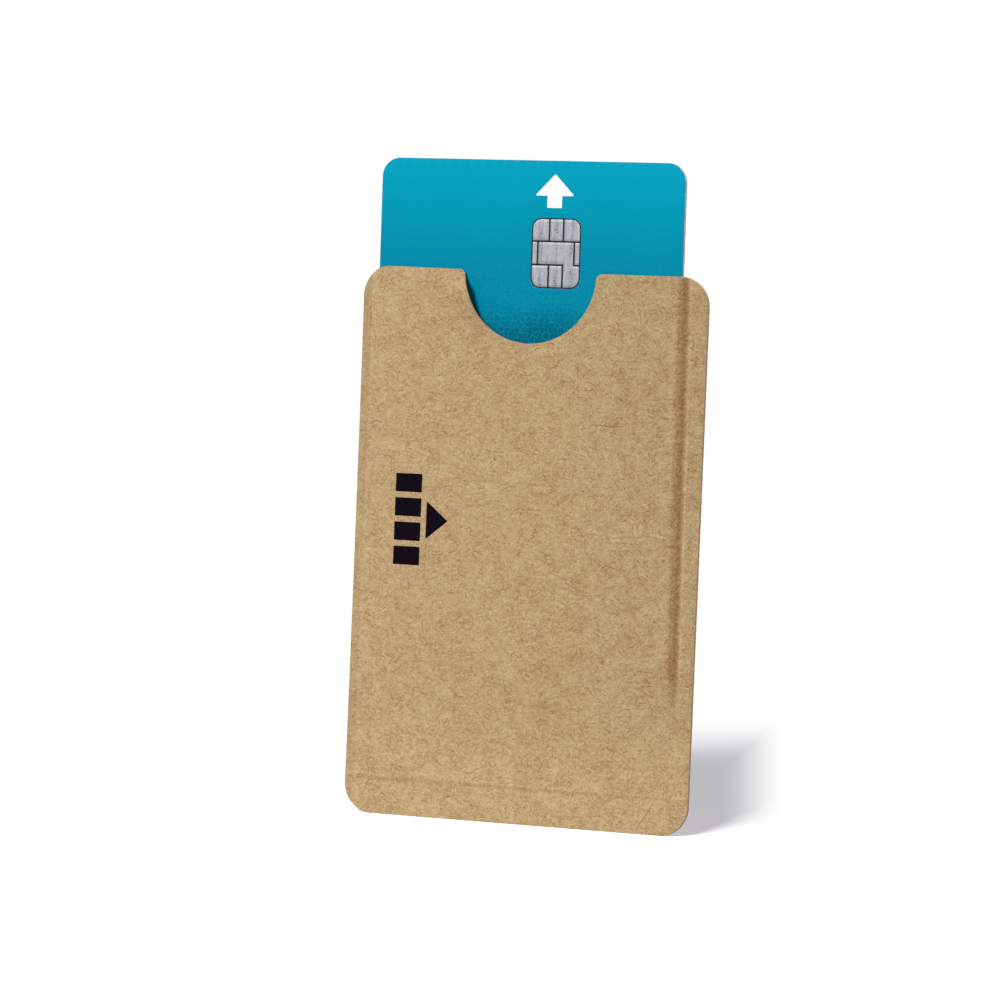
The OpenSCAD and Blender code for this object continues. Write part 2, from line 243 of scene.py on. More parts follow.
def cut_sheet(name, blank, near, far, finishes, rough=0.0, grow=1):
    """Mesh of a sheet from its near face, towards -Y, to its far face, with a rounded cut rim.

    The first finish is the faces' and the last one the rim's. The rim is frayed by rough and
    stands out by grow times its rounding.
    """
    count = len(blank.points)
    vertices = [(x, y, z) for (x, z), y in zip(blank.points, near)]
    vertices += [(x, y, z) for (x, z), y in zip(blank.points, far)]
    faces = list(blank.triangles)
    faces += [tuple(count + i for i in reversed(face)) for face in blank.triangles]
    marks = [0] * len(faces)
    for rim, outward, side in blank.rims:
        rings = [list(rim)]
        steps = [90 * (i + 1) / rim_steps for i in range(rim_steps)] if blank.rounding else []
        profile = [(step, 1) for step in steps] + [(step, -1) for step in reversed(steps)]
        for step, from_near in profile:
            reach = grow * blank.rounding * math.sin(math.radians(step))
            drop = blank.rounding * (1 - math.cos(math.radians(step)))
            ring = []
            for i, (nx, nz) in zip(rim, outward):
                x, z = blank.points[i]
                # Under half of the thickness, so that the two halves of a thin rim don't cross
                drop_here = min(drop, (far[i] - near[i]) / 2.2)
                y = near[i] + drop_here if from_near > 0 else far[i] - drop_here
                out = reach
                if rough:
                    fray = noise.noise((x / mm * 4, y / mm * 7, z / mm * 4))
                    out += rough * fray * reach / blank.rounding
                ring.append(len(vertices))
                vertices.append((x + nx * out, y, z + nz * out))
            rings.append(ring)
        rings.append([count + i for i in rim])
        for ring, after in zip(rings, rings[1:]):
            for i in range(len(ring)):
                face = (ring[i - 1], after[i - 1], after[i], ring[i])
                faces.append(face if side > 0 else face[::-1])
                marks.append(len(finishes) - 1)
    mesh = bpy.data.meshes.new(name)
    mesh.from_pydata(vertices, [], faces)
    for finish in finishes:
        mesh.materials.append(finish)
    mesh.polygons.foreach_set("material_index", marks)
    mesh.polygons.foreach_set("use_smooth", [blank.rounding > 0] * len(faces))
    mesh.validate()
    piece = bpy.data.objects.new(name, mesh)
    bpy.context.scene.collection.objects.link(piece)
    if blank.rounding:
        weighted = piece.modifiers.new("even shading", "WEIGHTED_NORMAL")
        weighted.weight = 60
    return piece


def s_curve(t):
    """0 below 0, 1 above 1, and a soft bend between them."""
    t = min(1, max(0, t))
    return t * t * (3 - 2 * t)


def right_foot(z):
    """X at which the right slope meets the seam: it follows the leaning card's edge."""
    return seam_right + foot_shift + foot_drift * (lean_top - z)


def pocket_surface(x, z):
    """Distance of a wall's inner face from the pocket's middle plane."""
    left = s_curve((x - seam_left) / slope_w)
    right = s_curve((right_foot(z) - x) / slope_right_w)
    bottom = s_curve((z - seam_top + 0.1 * mm) / slope_w)
    share = min(left, right, bottom)
    slack = slack_share + (1 - slack_share) * s_curve((z - slack_from) / (slack_to - slack_from))
    return flange_y + (pocket_half - flange_y) * share * slack


def paper_wave(x, z, seed):
    """Slow unevenness of the paper, which only ever stands away from the card."""
    slow = 0.5 + 0.5 * noise.noise((x / mm / 15, z / mm / 19, seed))
    quick = 0.5 + 0.5 * noise.noise((x / mm / 4.2, z / mm / 5.1, seed + 7))
    return 0.045 * mm * slow + 0.008 * mm * quick


def pull_in(x, z):
    """Moves a point of the flat blank to where the slightly uneven die line has it."""
    side = max(0, -2 * x / sleeve_w) ** 8
    mouth = max(0, z / sleeve_h) ** 30
    return (
        x + edge_bow * side * (1 - (2 * z / sleeve_h - 1) ** 2),
        z - mouth_sag * mouth * (1 - (2 * x / sleeve_w) ** 2),
    )


def spread(low, high, gap, close=()):
    """Places from low to high, gap apart, and closer in each (from, to, gap) stretch."""
    places = list(np.arange(low, high, gap))
    for start, end, fine in close:
        places = [place for place in places if not start <= place <= end]
        places += list(np.arange(start, end + fine / 2, fine))
    return sorted(places)


# The inner points lie closer together where the walls step up from the seams
grid_gap = 0.8 * mm
slope_gap = 0.15 * mm
grid_across = spread(-sleeve_w / 2, sleeve_w / 2, grid_gap, (
    (seam_left - 0.2 * mm, seam_left + 1.3 * mm, slope_gap),
    (seam_right - 1.5 * mm, seam_right + 0.8 * mm, slope_gap),
))
grid_up = spread(0, sleeve_h, grid_gap, (
    (seam_top - 0.3 * mm, seam_top + 1.2 * mm, slope_gap),
))
sleeve_loop = box_loop(-sleeve_w / 2, 0, sleeve_w / 2, sleeve_h, corner_r)
back_blank = Blank(sleeve_loop, grid_across, grid_up, blank_rounding, pull=pull_in)
back_surface = [
    pocket_surface(x, z) + paper_wave(x, z, back_seed) for x, z in back_blank.points
]


class Value:
    """A socket of a material's nodes, so that shader maths reads as plain expressions."""

    def __init__(self, tree, socket):
        self.tree = tree
        self.socket = socket

    def node(self, kind, settings, inputs, output=0):
        """Adds a node of this kind: its settings first, then values or links for its sockets."""
        made = self.tree.nodes.new(kind)
        for name, value in settings.items():
            setattr(made, name, value)
        feed(made, inputs)
        return Value(self.tree, made.outputs[output])

    def other(self, output):
        """Another output of the same node."""
        return Value(self.tree, self.socket.node.outputs[output])

    def maths(self, operation, first, second=0.0):
        return self.node("ShaderNodeMath", {"operation": operation}, {0: first, 1: second})

    def __add__(self, other):
        return self.maths("ADD", self, other)

    def __radd__(self, other):
        return self.maths("ADD", other, self)

    def __sub__(self, other):
        return self.maths("SUBTRACT", self, other)

    def __rsub__(self, other):
        return self.maths("SUBTRACT", other, self)

    def __mul__(self, other):
        return self.maths("MULTIPLY", self, other)

    def __rmul__(self, other):
        return self.maths("MULTIPLY", other, self)

    def __truediv__(self, other):
        return self.maths("DIVIDE", self, other)

    def __abs__(self):
        return self.maths("ABSOLUTE", self)

    def at_least(self, other):
        return self.maths("MAXIMUM", self, other)

    def at_most(self, other):
        return self.maths("MINIMUM", self, other)

    def smooth(self, start, end):
        """Goes softly from 0 to 1 as this value goes from start to end."""
        return self.node(
            "ShaderNodeMapRange", {"interpolation_type": "SMOOTHSTEP"},
            {"Value": self, "From Min": start, "From Max": end},
        )

    def vector(self, operation, first, second, socket=1):
        """Vector maths, with the second value on this socket: a number goes on Scale."""
        return self.node(
            "ShaderNodeVectorMath", {"operation": operation}, {0: first, socket: second}
        )

    def colour(self, low, high, blend="MIX"):
        """Goes from one colour to another as this value goes from 0 to 1."""
        return self.node(
            "ShaderNodeMix", {"data_type": "RGBA", "blend_type": blend},
            {0: self, 6: low, 7: high}, 2,
        )

    def bump(self, depth):
        """Normal of a surface whose height is this value times depth."""
        return self.node("ShaderNodeBump", {}, {"Height": self, "Distance": depth})


def feed(made, inputs):
    """Sets or links the sockets of a node."""
    for name, value in inputs.items():
        if isinstance(value, Value):
            made.id_data.links.new(value.socket, made.inputs[name])
        else:
            made.inputs[name].default_value = value


def place_in(tree):
    """The place that is shaded, in millimetres along the shared frame's axes."""
    place = Value(tree, None).node("ShaderNodeTexCoord", {}, {}, "Object")
    return place.vector("SCALE", place, 1 / mm, "Scale")


def material(name, surface):
    """A material whose shader takes what surface(place) says, place being in millimetres."""
    made = bpy.data.materials.new(name)
    made.use_nodes = True
    feed(made.node_tree.nodes["Principled BSDF"], surface(place_in(made.node_tree)))
    return made


def split(place):
    """X, Y and Z of a place, each by itself."""
    x = place.node("ShaderNodeSeparateXYZ", {}, {0: place})
    return x, x.other(1), x.other(2)


def on_sheet(place, seed):
    """The place on a flat sheet, moved so that each sheet gets its own pattern."""
    x, _, z = split(place)
    return place.node("ShaderNodeCombineXYZ", {}, {0: x + 137.0 * seed, 1: z + 71.0 * seed})


def clouds(place, size, detail=2.0, roughness=0.5, flat=True):
    """Noise from 0 to 1 with patches of about this size in millimetres."""
    return place.node(
        "ShaderNodeTexNoise", {"noise_dimensions": "2D" if flat else "3D"},
        {"Vector": place, "Scale": 1 / size, "Detail": detail, "Roughness": roughness},
    )


def fibres(sheet, cell, length, width, bend, seed):
    """Thin bent fibres, one in each cell of a scattered pattern, lying more across than up."""
    drift = clouds(sheet, cell * 0.85, 1.0).other(1)
    drift = sheet.vector("SUBTRACT", drift, (0.5, 0.5, 0.5))
    drift = sheet.vector("SCALE", drift, bend, "Scale")
    bent = sheet.vector("ADD", sheet, drift)
    bent = sheet.vector("ADD", bent, (seed * 13.7, seed * 9.1, 0))
    cells = sheet.node(
        "ShaderNodeTexVoronoi", {"voronoi_dimensions": "2D"},
        {"Vector": bent, "Scale": 1 / cell}, "Position",
    )
    dx, dz, _ = split(sheet.vector("SUBTRACT", bent, cells))
    chance = sheet.node("ShaderNodeSeparateColor", {}, {0: cells.other("Color")})
    turn = (chance - 0.5) * 2.7
    along_x = sheet.maths("COSINE", turn)
    along_z = sheet.maths("SINE", turn)
    along = dx * along_x + dz * along_z
    aside = abs(dz * along_x - dx * along_z + along * along * (chance.other(1) - 0.5) * 0.8)
    size = 0.6 + 0.8 * chance.other(2)
    line = aside.smooth(width, width * 0.2) * abs(along / size).smooth(length / 2, length * 0.3)
    return line * (0.35 + 0.65 * chance.other(1))


def squiggles(sheet, size, width, seed):
    """Short worm-like strokes, where a noise crosses its middle level."""
    moved = sheet.vector("ADD", sheet, (seed * 5.3, seed * 8.9, 0))
    ridge = abs(clouds(moved, size, 3.0, 0.65) - 0.5)
    broken = clouds(moved, size * 0.8, 1.0).smooth(0.48, 0.62)
    return ridge.smooth(width, width * 0.15) * broken


pulp_dark = (0.350, 0.198, 0.081, 1)
pulp_light = (0.622, 0.470, 0.257, 1)
fibre_dark = (0.290, 0.122, 0.038, 1)
fibre_light = (0.700, 0.560, 0.345, 1)
speck_dark = (0.110, 0.050, 0.025, 1)


def kraft(place, seed):
    """Brown kraft: clouded pulp with light and dark fibres pressed into it."""
    sheet = on_sheet(place, seed)
    slow = clouds(sheet, 11.0, 2.0, 0.5) - 0.5
    mottle = clouds(sheet, 3.0, 3.0, 0.6) - 0.5
    felt = clouds(sheet.vector("MULTIPLY", sheet, (0.62, 1.15, 1)), 0.8, 3.0, 0.62) - 0.5
    grain = clouds(sheet, 0.23, 2.0, 0.6) - 0.5
    crowd = clouds(sheet.vector("ADD", sheet, (31.0, 17.0, 0)), 2.6, 2.0, 0.6).smooth(0.64, 0.36)
    # Cell, length, width and bend of each kind of fibre in millimetres, and its seed
    dark = fibres(sheet, 1.3, 1.9, 0.11, 0.36, 1)
    dark_small = fibres(sheet, 0.62, 0.95, 0.095, 0.2, 2)
    dark_fine = fibres(sheet, 0.9, 1.4, 0.09, 0.26, 7)
    light = fibres(sheet, 0.95, 1.4, 0.105, 0.36, 3)
    light_small = fibres(sheet, 0.6, 0.9, 0.1, 0.22, 4)
    curls = squiggles(sheet, 1.1, 0.020, 5)
    pale_curls = squiggles(sheet, 0.9, 0.022, 9)
    specks = fibres(sheet, 3.6, 0.34, 0.15, 0.2, 6)
    tone = 0.55 + 0.26 * slow + 0.72 * mottle + 0.84 * felt + 0.74 * grain
    colour = tone.colour(pulp_dark, pulp_light)
    pale = (light * 0.55 + light_small * 0.5 + pale_curls * 0.16).at_most(0.6)
    brown = dark * 0.62 + dark_small * 0.6 + dark_fine * 0.58 + curls * 0.2
    brown = (brown * (0.4 + 0.6 * crowd)).at_most(0.8)
    colour = pale.colour(colour, fibre_light)
    colour = brown.colour(colour, fibre_dark)
    colour = (specks * 0.75).colour(colour, speck_dark)
    height = felt * 0.7 + grain * 0.4 + pale * 0.6 - brown * 0.5
    return colour, height


def kraft_surface(colour, height):
    """The matt surface that any print or wear of the kraft has."""
    return {
        "Base Color": colour, "Roughness": 0.9, "Specular IOR Level": 0.1,
        "Normal": height.bump(0.03 * mm),
    }


def cut_kraft(place):
    """The die-cut edge of the paper: paler, more orange and furred."""
    fur = clouds(place, 0.16, 3.0, 0.7, flat=False)
    colour = fur.smooth(0.3, 0.75).colour((0.46, 0.26, 0.105, 1), (0.66, 0.43, 0.215, 1))
    return {
        "Base Color": colour, "Roughness": 0.95, "Specular IOR Level": 0.2,
        "Normal": fur.bump(0.05 * mm),
    }


def bright_foil(place):
    """Aluminium foil, finely crinkled from the pressing."""
    crinkle = clouds(place, 1.6, 4.0, 0.6, flat=False)
    dull = clouds(place, 7.0, 2.0, flat=False)
    return {
        "Base Color": (0.80, 0.81, 0.82, 1), "Metallic": 1.0,
        "Roughness": 0.24 + 0.18 * dull, "Normal": crinkle.bump(0.05 * mm),
    }


def clear_film(place):
    """Clear film over the foil: the foil shows through it, softened and a little milky."""
    crinkle = clouds(place, 2.2, 4.0, 0.55, flat=False)
    rubbed = clouds(place, 3.5, 4.0, 0.7, flat=False).smooth(0.42, 0.7)
    streak = clouds(place.vector("MULTIPLY", place, (1.0, 1.0, 0.06)), 0.5, 2.0, flat=False)
    colour = rubbed.colour((0.70, 0.71, 0.73, 1), (0.58, 0.59, 0.61, 1))
    return {
        "Base Color": colour, "Metallic": 0.92,
        "Roughness": 0.26 + 0.20 * rubbed + 0.10 * streak,
        "Coat Weight": 0.5, "Coat Roughness": 0.12,
        "Normal": (crinkle + 0.15 * streak).bump(0.06 * mm),
    }


back_kraft = material("back kraft", lambda place: kraft_surface(*kraft(place, 3)))
kraft_edge = material("kraft cut edge", cut_kraft)
foil = material("foil", bright_foil)
film = material("sealing film", clear_film)
ply_finishes = {
    "paper": [back_kraft, kraft_edge], "foil": [foil, kraft_edge], "film": [film, kraft_edge],
}


def wall(side, blank, surface, finishes):
    """The three plies of one wall; side is -1 for the front and 1 for the back."""
    word = "front" if side < 0 else "back"
    for ply, (inner, outer) in ply_depths.items():
        near, far = sorted((side * inner, side * outer))
        # The paper's rim is frayed, and those of the foil and film lie a little behind it
        rough, grow = (0.02 * mm, 1) if ply == "paper" else (0, 0.7)
        piece = cut_sheet(
            f"{word}_{ply}_sheet", blank,
            [side * depth + near for depth in surface],
            [side * depth + far for depth in surface],
            finishes[ply], rough, grow,
        )
        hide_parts(f"{word}_{ply}")
        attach(piece, "sleeve")


wall(1, back_blank, back_surface, ply_finishes)


# Front wall
# The front is a blank like the back's, with a thumb notch punched through its mouth. Its
# paper has painted shade along the card's right edge, and the notch's left lip stands off the card.
notch_x = -0.6 * mm
notch_z = 91.6 * mm
notch_r = 11.65 * mm
lip_r = 1.1 * mm
lip_z = sleeve_h - lip_r
lip_x = math.sqrt((notch_r + lip_r) ** 2 - (notch_z - lip_z) ** 2)
lip_tilt = math.degrees(math.asin((notch_z - lip_z) / (notch_r + lip_r)))
# How high the lip stands off the card, how far from the notch that reaches, where on the
# notch's arc it is highest, and how soon it fades up and down the arc from there, in degrees
lift_high = 1.9 * mm
lift_reach = 2.4 * mm
lift_turn = 14
lift_fade_up = 6.5
lift_fade_down = 25
# How far the lifted lip is cut further into the notch, per distance that it stands off
lift_overhang = 0.40
# From here on in the shader's millimetres: where the painted shade of the crease and the foot of
# the right slope are at lean_top, and how they drift right below it
crease_from = 26.4
crease_drift = 0.75 / 66
foot_from = 27.25
# The bent corner's fold starts at this x and z, and runs on in this direction
fold_start = (21.8, 0.7)
fold_along = (0.527, 0.850)
# Middle, half length and strength of the two scuffs
scuffs = ((14.0, 66.95, 3.0, 0.75), (-5.7, 61.8, 2.2, 0.45))
# Painted shade colour, multiplied into the paper at the crease and the fold
painted_shade_tint = (0.74, 0.62, 0.53, 1)
scuff_grey = (0.190, 0.135, 0.100, 1)


def lip_lift(x, z):
    """How far the notch's left lip stands off the card here."""
    away = (math.hypot(x - notch_x, z - notch_z) - notch_r) / lift_reach
    turn = math.degrees(math.atan2(notch_z - z, notch_x - x)) - lift_turn
    along = turn / (lift_fade_up if turn < 0 else lift_fade_down)
    return lift_high * math.exp(-away * away - along * along)


def pull_front(x, z):
    """The front's die line is as uneven as the back's, and hangs over where the lip stands off."""
    x, z = pull_in(x, z)
    return x + lift_overhang * lip_lift(x, z), z


front_loop = stepped(
    arc(-sleeve_w / 2 + corner_r, corner_r, corner_r, 180, 270)
    + arc(sleeve_w / 2 - corner_r, corner_r, corner_r, 270, 360)
    + arc(sleeve_w / 2 - corner_r, sleeve_h - corner_r, corner_r, 0, 90)
    + arc(notch_x + lip_x, lip_z, lip_r, 90, 180 - lip_tilt)
    + arc(notch_x, notch_z, notch_r, -lip_tilt, lip_tilt - 180)
    + arc(notch_x - lip_x, lip_z, lip_r, lip_tilt, 90)
    + arc(-sleeve_w / 2 + corner_r, sleeve_h - corner_r, corner_r, 90, 180),
    loop_gap,
)
front_blank = Blank(front_loop, grid_across, grid_up, blank_rounding, pull=pull_front)
front_surface = [
    pocket_surface(x, z) + paper_wave(x, z, front_seed) + lip_lift(x, z)
    for x, z in front_blank.points
]


def scuff(place, at_x, at_z, reach):
    """A thin grey mark across the paper, fading out towards its ends."""
    x, _, z = split(place)
    wander = clouds(on_sheet(place, 8), 1.5, 2.0) - 0.5
    line = abs(z - at_z + wander * 0.3).smooth(0.16, 0.03)
    return line * abs(x - at_x).smooth(reach, reach * 0.4)


def scuffed_kraft_with_painted_light(place):
    """The front's kraft, scuffed, with painted shade and light on its crease, fold and slopes."""
    colour, height = kraft(place, 0)
    x, _, z = split(place)
    beside_card = z.smooth(19, 28)
    below_top = lean_top / mm - z
    wander = clouds(on_sheet(place, 5), 1.3, 4.0, 0.7) - 0.5
    rubbed = clouds(on_sheet(place, 7), 0.55, 3.0, 0.7) - 0.5
    # Painted shade along the crease over the card's right edge, mottled and wandering
    crease_x = crease_from + below_top * crease_drift
    crease_painted_shade = abs(x - crease_x + wander * 0.8).smooth(1.35, 0.2) * beside_card
    crease_painted_shade = (crease_painted_shade * (0.95 + 1.2 * wander + 2.2 * rubbed)).at_least(0)
    colour = crease_painted_shade.colour(colour, painted_shade_tint, "MULTIPLY")
    marks = [scuff(place, *where) * strength for *where, strength in scuffs]
    colour = (marks[0] + marks[1]).colour(colour, scuff_grey)
    # Painted shade in the middle of the bent corner's fold, and a painted highlight beside it
    fold_x, fold_z = x - fold_start[0], z - fold_start[1]
    along = fold_x * fold_along[0] + fold_z * fold_along[1]
    aside = fold_x * fold_along[1] - fold_z * fold_along[0] + wander * 0.15
    bent_corner = along.smooth(-0.3, 0.5) * along.smooth(6.4, 4.6)
    fold_painted_shade = abs(aside).smooth(0.18, 0.04) * bent_corner
    fold_painted_highlight = abs(aside + 0.26).smooth(0.18, 0.04) * bent_corner
    colour = (fold_painted_shade * 0.8).colour(colour, painted_shade_tint, "MULTIPLY")
    # Painted light on the slopes at the bottom and the right, and painted highlights on thin ridges
    bottom_slope_painted_light = ((z - 5.5) * (6.6 - z) * 3.3).at_least(0) * abs(x).smooth(28.4, 26.8)
    foot = foot_from + below_top * foot_drift
    beside = ((foot - x) * (x - foot + 1) * 4).at_least(0) * z.smooth(5, 7)
    beside = beside * (0.5 + 0.5 * z.smooth(25, 19))
    seam_painted_highlight = abs(z - 6.4 + wander * 0.25).smooth(0.3, 0.05) * x.smooth(-16, -6)
    ridge = abs(x - crease_x - 1.2 + wander * 0.2).smooth(0.32, 0.08) * beside_card
    lit = 0.15 * bottom_slope_painted_light + 0.30 * beside + 0.10 * seam_painted_highlight + 0.14 * ridge + 0.08 * fold_painted_highlight
    # Painted light and shade: paler at the bottom, darker to the right, up and along the left seam
    left_seam_shade = x.smooth(-28.6, -29.6) * (0.09 + 0.05 * z.smooth(60, 80))
    tone = 1.03 - x * 0.0020 - z * 0.0009
    tone = tone + (0.09 + x * 0.0012) * z.smooth(18, 6) - left_seam_shade
    colour = place.vector("SCALE", colour, tone * (1 + lit), "Scale")
    return kraft_surface(colour, height)


front_kraft = material("front kraft", scuffed_kraft_with_painted_light)
wall(-1, front_blank, front_surface, dict(ply_finishes, paper=[front_kraft, kraft_edge]))


# Seams
# Heat and pressure melt the two sealing films into each other along three edges, which
# leaves a thin bead of clear yellowish plastic between the walls.


def melted_film(place):
    """Clear yellowish plastic with small bubbles in it."""
    bubbles = clouds(place, 0.5, 3.0, 0.6, flat=False)
    colour = bubbles.smooth(0.35, 0.7).colour((0.62, 0.55, 0.44, 1), (0.78, 0.73, 0.62, 1))
    return {
        "Base Color": colour, "Roughness": 0.35 + 0.2 * bubbles,
        "Normal": bubbles.bump(0.02 * mm),
    }


def repaint(node, finish):
    """Gives a carried-over node its material."""
    nodes[node].data.materials.clear()
    nodes[node].data.materials.append(finish)


melted_seam = material("melted seam", melted_film)
for seal in ("left_seal", "right_seal", "bottom_seal"):
    repaint(seal, melted_seam)


# Printed mark
# Four solid bars and an arrowhead in near-black ink are printed on the front. The ink soaks
# into the paper, so its edges are a little ragged and the fibres show through it.
mark_low, mark_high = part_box("printed_mark")
bar_count = 4
bar_space = 0.97 * mm
bar_w = 4.75 * mm
bar_h = (mark_high.z - mark_low.z - (bar_count - 1) * bar_space) / bar_count
arrowhead_w = mark_high.x - mark_low.x - bar_w - bar_space
arrowhead_h = 6.4 * mm
ink_corner_r = 0.12 * mm
ink_step = 0.12 * mm
ink_stands = 0.004 * mm
ink_sinks = 0.012 * mm


def soaked_ink(place):
    """Near-black ink with the paper's fibres showing through."""
    sheet = on_sheet(place, 0)
    dark = fibres(sheet, 0.95, 1.3, 0.085, 0.5, 3)
    grain = clouds(sheet, 0.42, 3.0, 0.75)
    colour = (dark * 0.35 + (grain - 0.5) * 0.4 + 0.15).colour(
        (0.0030, 0.0010, 0.0050, 1), (0.020, 0.013, 0.017, 1)
    )
    return {
        "Base Color": colour, "Roughness": 0.85, "Specular IOR Level": 0.03,
        "Normal": (grain + 0.4 * dark).bump(0.02 * mm),
    }


dark_ink = material("dark ink", soaked_ink)
ink_x = mark_low.x
mark_loops = []
for i in range(bar_count):
    low = mark_low.z + i * (bar_h + bar_space)
    mark_loops.append(box_loop(ink_x, low, ink_x + bar_w, low + bar_h, ink_corner_r, ink_step))
middle_z = (mark_low.z + mark_high.z) / 2
head_x = ink_x + bar_w + bar_space
mark_loops.append(rounded([
    (head_x, middle_z - arrowhead_h / 2, ink_corner_r),
    (head_x + arrowhead_w, middle_z, ink_corner_r),
    (head_x, middle_z + arrowhead_h / 2, ink_corner_r),
], ink_step))


def bleed(x, z):
    """Moves a point of the ink's outline a little, as ink that creeps along fibres does."""
    return (
        x + 0.035 * mm * noise.noise((x / mm * 3, z / mm * 3, 21)),
        z + 0.035 * mm * noise.noise((x / mm * 3, z / mm * 3, 34)),
    )


def filled(loop, gap, rounding, pull):
    """A blank with this outline and inner points that lie gap apart."""
    xs = [x for x, z in loop]
    zs = [z for x, z in loop]
    across = spread(min(xs), max(xs), gap)
    up = spread(min(zs), max(zs), gap)
    return Blank(loop, across, up, rounding, pull=pull)


def joined(name, pieces):
    """Joins several meshes into one piece."""
    with bpy.context.temp_override(active_object=pieces[0], selected_editable_objects=pieces):
        bpy.ops.object.join()
    pieces[0].name = name
    return pieces[0]


prints = []
for i, loop in enumerate(mark_loops):
    blank = filled(loop, 0.5 * mm, 0, bleed)
    top = [
        -pocket_surface(x, z) - paper_wave(x, z, front_seed) - paper_out for x, z in blank.points
    ]
    prints.append(cut_sheet(
        f"ink_{i}", blank, [y - ink_stands for y in top], [y + ink_sinks for y in top], [dark_ink],
    ))
mark = joined("printed_mark_ink", prints)
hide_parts("printed_mark")
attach(mark, "sleeve")


# Card body
# The card is five plastic sheets pressed into one: a middle sheet that holds the antenna, a
# coloured core on each side of it, and a printed overlay on each face.
card_w = 53.98 * mm
card_h = 85.6 * mm
card_r = 3.18 * mm
card_lean = math.radians(0.45)
card_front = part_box("card_front_overlay")[0].y
card_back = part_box("card_back_overlay")[1].y
overlay_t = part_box("card_front_overlay")[1].y - card_front
card_middle = (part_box("card_back_core")[0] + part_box("card_back_core")[1]) / 2
card_rounding = 0.02 * mm
module_w = 8.6 * mm
module_h = 11.5 * mm
module_r = 1.6 * mm
module_gap = 0.06 * mm
module_x = 4.59 * mm
module_z = 27.5 * mm


def flat_sheet(name, blank, low, high, finish):
    """Mesh of a flat sheet from the Y of one face to the Y of the other."""
    count = len(blank.points)
    return cut_sheet(name, blank, [low] * count, [high] * count, [finish])


def lean(x, z):
    """Places a point drawn about the card's middle where the leaning card has it."""
    return (
        card_middle.x + x * math.cos(card_lean) - z * math.sin(card_lean),
        card_middle.z + x * math.sin(card_lean) + z * math.cos(card_lean),
    )


def on_card(place):
    """X and Z in millimetres from the card's middle, along its own edges."""
    x, _, z = split(place)
    x = x - card_middle.x / mm
    z = z - card_middle.z / mm
    turn_x = x * math.cos(card_lean) + z * math.sin(card_lean)
    turn_z = z * math.cos(card_lean) - x * math.sin(card_lean)
    return turn_x, turn_z


teal_top = (0.0, 0.352, 0.518, 1)
teal_middle = (0.0, 0.236, 0.370, 1)
# Partly painted shade under the sleeve's notch edge, partly a darker print
teal_painted_shade = (0.0, 0.118, 0.188, 1)
teal_line = (0.004, 0.300, 0.430, 1)
tile_size = 0.88


def teal_face(place):
    """Satin teal print, darker down the card and darkest in painted shade, with a faint mosaic of
    fine pale lines.
    """
    x, z = on_card(place)
    flat = place.node("ShaderNodeCombineXYZ", {}, {0: x, 1: z})
    patchy = clouds(flat, 9.0, 3.0, 0.55) - 0.5
    level = z + patchy * 4.0
    colour = level.smooth(44, 20).colour(teal_top, teal_middle)
    # Darkest low on the card: partly painted shade under the sleeve's notch edge, partly darker
    # print
    colour = level.smooth(20, 12.5).colour(colour, teal_painted_shade)
    drift = flat.vector("SCALE", clouds(flat, 2.5, 2.0).other(1), 1.2, "Scale")
    tiles = place.node(
        "ShaderNodeTexVoronoi", {"voronoi_dimensions": "2D", "feature": "DISTANCE_TO_EDGE"},
        {"Vector": flat.vector("ADD", flat, drift), "Scale": 1 / tile_size, "Randomness": 0.85},
    )
    thin = 0.35 + 0.65 * clouds(flat, 1.8, 2.0).smooth(0.35, 0.6)
    lines = tiles.smooth(0.12, 0.02) * (z + patchy * 8.0).smooth(30, 23) * thin
    colour = (lines * 0.68).colour(colour, teal_line)
    grain = clouds(flat, 0.3, 2.0, 0.7)
    colour = flat.vector("SCALE", colour, 0.965 + 0.07 * grain, "Scale")
    return {
        "Base Color": colour, "Roughness": 0.42 + 0.08 * grain, "Specular IOR Level": 0.02,
        "Normal": grain.bump(0.004 * mm),
    }


def cut_plastic(low, high):
    """Cut edge of a plastic sheet between two colours, scored by the punch."""
    def surface(place):
        score = clouds(place.vector("MULTIPLY", place, (1, 14, 1)), 0.6, 3.0, 0.7, flat=False)
        return {
            "Base Color": score.smooth(0.25, 0.8).colour(low, high), "Roughness": 0.55,
            "Normal": score.bump(0.02 * mm),
        }
    return surface


card_face = material("card face", teal_face)
core_edge = material("card core", cut_plastic((0.23, 0.088, 0.065, 1), (0.42, 0.215, 0.165, 1)))
inlay = material("antenna sheet", cut_plastic((0.41, 0.245, 0.20, 1), (0.63, 0.47, 0.41, 1)))
repaint("card_front_core", core_edge)
repaint("card_back_core", core_edge)
repaint("antenna_sheet", inlay)
card_loop = box_loop(-card_w / 2, -card_h / 2, card_w / 2, card_h / 2, card_r)
module_window = box_loop(
    module_x - module_w / 2 - module_gap, module_z - module_h / 2 - module_gap,
    module_x + module_w / 2 + module_gap, module_z + module_h / 2 + module_gap,
    module_r + module_gap, 0.4 * mm,
)
card_across = spread(-card_w / 2, card_w / 2, 2 * mm)
card_up = spread(-card_h / 2, card_h / 2, 2 * mm)
for face, y, holes in (("front", card_front, [module_window]), ("back", card_back - overlay_t, [])):
    blank = Blank(card_loop, card_across, card_up, card_rounding, holes, lean)
    overlay = flat_sheet(f"card_{face}_overlay_sheet", blank, y, y + overlay_t, card_face)
    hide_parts(f"card_{face}_overlay")
    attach(overlay, "card")


